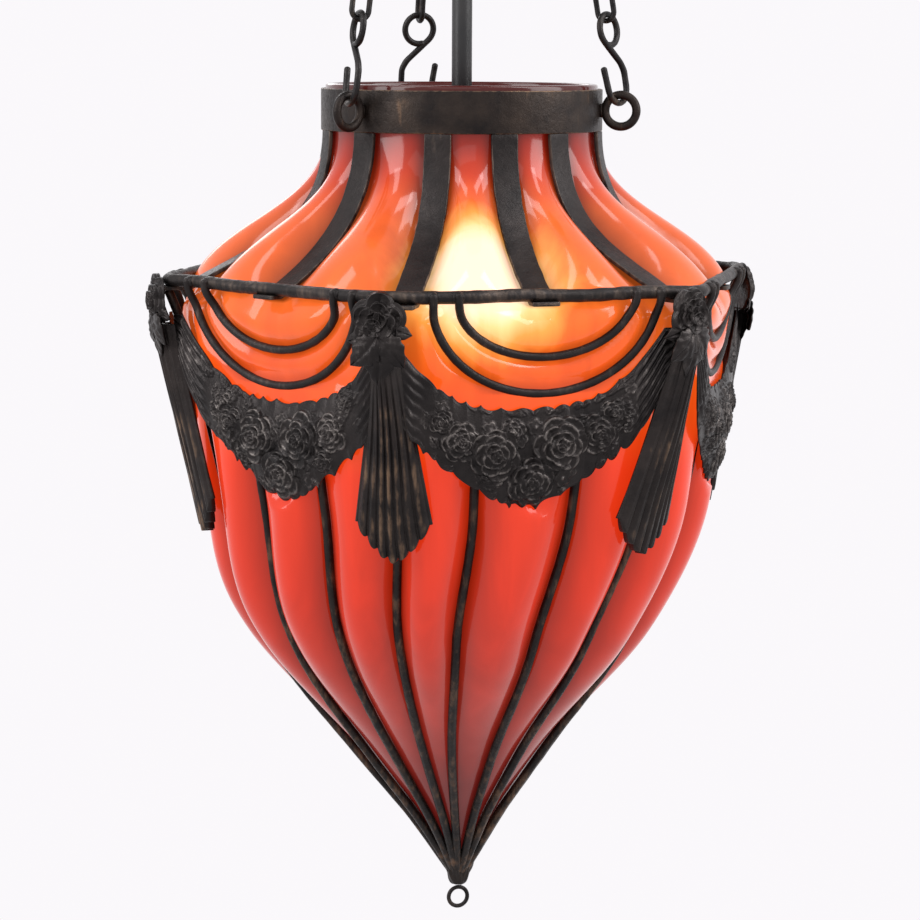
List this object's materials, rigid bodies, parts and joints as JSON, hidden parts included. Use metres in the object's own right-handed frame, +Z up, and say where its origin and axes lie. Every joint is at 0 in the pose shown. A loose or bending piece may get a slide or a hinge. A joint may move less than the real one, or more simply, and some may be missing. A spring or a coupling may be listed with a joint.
{
  "type": "glass pendant lamp",
  "caption": "Ceiling pendant: lobed orange glass blown into a forged iron cage with garlands and tassels, hung by hooks and short chains round a central lampholder.",
  "frame": {"origin": "middle of the ceiling plate's upper face, where the lamp meets the ceiling", "axes": "+Z up along the stem; -Y faces the middle of one side of the hexagonal rail; +X to the right seen from there"},
  "size_m": [0.317, 0.2836, 0.5502],
  "materials": {
    "shade_glass": "blown, glossy, cased over opal",
    "forged_iron": "forged and waxed, worn on the edges",
    "bronzed_iron": "pressed sheet, bronzed and rubbed",
    "chain_iron": "bent wire, blackened",
    "canopy_iron": "spun steel, black paint",
    "zinc_plate": "zinc plated steel",
    "stem_paint": "black satin paint on steel tube",
    "holder_plastic": "moulded",
    "bulb_cap": "rolled",
    "bulb_glass": "frosted"
  },
  "bodies": {
    "fixture": {"ceiling_plate": "zinc_plate", "stem_nut": "zinc_plate", "canopy": "canopy_iron", "canopy_ring": "canopy_iron", "stem_tube": "stem_paint", "holder_cap": "holder_plastic", "holder_shell": "holder_plastic"},
    "bulb": {"bulb_cap": "bulb_cap", "bulb_glass": "bulb_glass"},
    "upper_link_1": {"link_a_1": "chain_iron"},
    "lower_links_1": {"link_b_1": "chain_iron", "link_c_1": "chain_iron"},
    "hook_1": {"chain_hook_1": "chain_iron"},
    "upper_link_2": {"link_a_2": "chain_iron"},
    "lower_links_2": {"link_b_2": "chain_iron", "link_c_2": "chain_iron"},
    "hook_2": {"chain_hook_2": "chain_iron"},
    "upper_link_3": {"link_a_3": "chain_iron"},
    "lower_links_3": {"link_b_3": "chain_iron", "link_c_3": "chain_iron"},
    "hook_3": {"chain_hook_3": "chain_iron"},
    "lamp_shade": {"glass_shade": "shade_glass", "collar_band": "bronzed_iron", "hex_rail": "forged_iron", "rib_cage": "forged_iron", "tip_ring": "forged_iron", "collar_eye_1": "chain_iron", "collar_eye_2": "chain_iron", "collar_eye_3": "chain_iron", "strap_01": "forged_iron", "strap_02": "forged_iron", "strap_03": "forged_iron", "strap_04": "forged_iron", "strap_05": "forged_iron", "strap_06": "forged_iron", "strap_07": "forged_iron", "strap_08": "forged_iron", "strap_09": "forged_iron", "strap_10": "forged_iron", "strap_11": "forged_iron", "strap_12": "forged_iron", "garland_1": "bronzed_iron", "garland_2": "bronzed_iron", "garland_3": "bronzed_iron", "garland_4": "bronzed_iron", "garland_5": "bronzed_iron", "garland_6": "bronzed_iron", "rosette_1": "bronzed_iron", "rosette_2": "bronzed_iron", "rosette_3": "bronzed_iron", "rosette_4": "bronzed_iron", "rosette_5": "bronzed_iron", "rosette_6": "bronzed_iron", "tassel_1": "bronzed_iron", "tassel_2": "bronzed_iron", "tassel_3": "bronzed_iron", "tassel_4": "bronzed_iron", "tassel_5": "bronzed_iron", "tassel_6": "bronzed_iron"}
  },
  "joints": [
    {"name": "bulb_screw", "type": "hinge", "parent": "fixture", "child": "bulb", "pos_m": [0, 0, -0.19], "axis": [0, 0, -1], "range_deg": [0, 1800]},
    {"name": "swing_front_1", "type": "hinge", "parent": "fixture", "child": "upper_link_1", "pos_m": [-0.05296, -0.03057, -0.03427], "axis": [1, 0, 0], "range_deg": [-12, 12]},
    {"name": "swing_side_1", "type": "hinge", "parent": "upper_link_1", "child": "lower_links_1", "pos_m": [-0.05609, -0.03238, -0.05587], "axis": [0, 1, 0], "range_deg": [-12, 12]},
    {"name": "hook_turn_1", "type": "hinge", "parent": "lower_links_1", "child": "hook_1", "pos_m": [-0.06234, -0.03599, -0.09907], "axis": [0, 1, 0], "range_deg": [-10.9, 10.9]},
    {"name": "swing_front_2", "type": "hinge", "parent": "fixture", "child": "upper_link_2", "pos_m": [0.05296, -0.03057, -0.03427], "axis": [1, 0, 0], "range_deg": [-12, 12]},
    {"name": "swing_side_2", "type": "hinge", "parent": "upper_link_2", "child": "lower_links_2", "pos_m": [0.05609, -0.03238, -0.05587], "axis": [0, 1, 0], "range_deg": [-12, 12]},
    {"name": "hook_turn_2", "type": "hinge", "parent": "lower_links_2", "child": "hook_2", "pos_m": [0.06234, -0.03599, -0.09907], "axis": [0, 1, 0], "range_deg": [-10.9, 10.9]},
    {"name": "swing_front_3", "type": "hinge", "parent": "fixture", "child": "upper_link_3", "pos_m": [0, 0.06115, -0.03427], "axis": [1, 0, 0], "range_deg": [-12, 12]},
    {"name": "swing_side_3", "type": "hinge", "parent": "upper_link_3", "child": "lower_links_3", "pos_m": [0, 0.06476, -0.05587], "axis": [0, 1, 0], "range_deg": [-12, 12]},
    {"name": "hook_turn_3", "type": "hinge", "parent": "lower_links_3", "child": "hook_3", "pos_m": [0, 0.07199, -0.09907], "axis": [0, 1, 0], "range_deg": [-10.9, 10.9]},
    {"name": "shade_turn", "type": "hinge", "parent": "hook_1", "child": "lamp_shade", "pos_m": [-0.06807, -0.0393, -0.13857], "axis": [1, 0, 0], "range_deg": [-9.4, 9.4]}
  ],
  "couplings": [
    {"joint": "hook_turn_1", "follows": "swing_side_1", "ratio": -0.89958},
    {"joint": "swing_front_2", "follows": "swing_front_1", "ratio": 1},
    {"joint": "swing_side_2", "follows": "swing_side_1", "ratio": 1},
    {"joint": "hook_turn_2", "follows": "swing_side_1", "ratio": -0.89958},
    {"joint": "swing_front_3", "follows": "swing_front_1", "ratio": 1},
    {"joint": "swing_side_3", "follows": "swing_side_1", "ratio": 1},
    {"joint": "hook_turn_3", "follows": "swing_side_1", "ratio": -0.89958},
    {"joint": "shade_turn", "follows": "swing_front_1", "ratio": -0.77794}
  ]
}
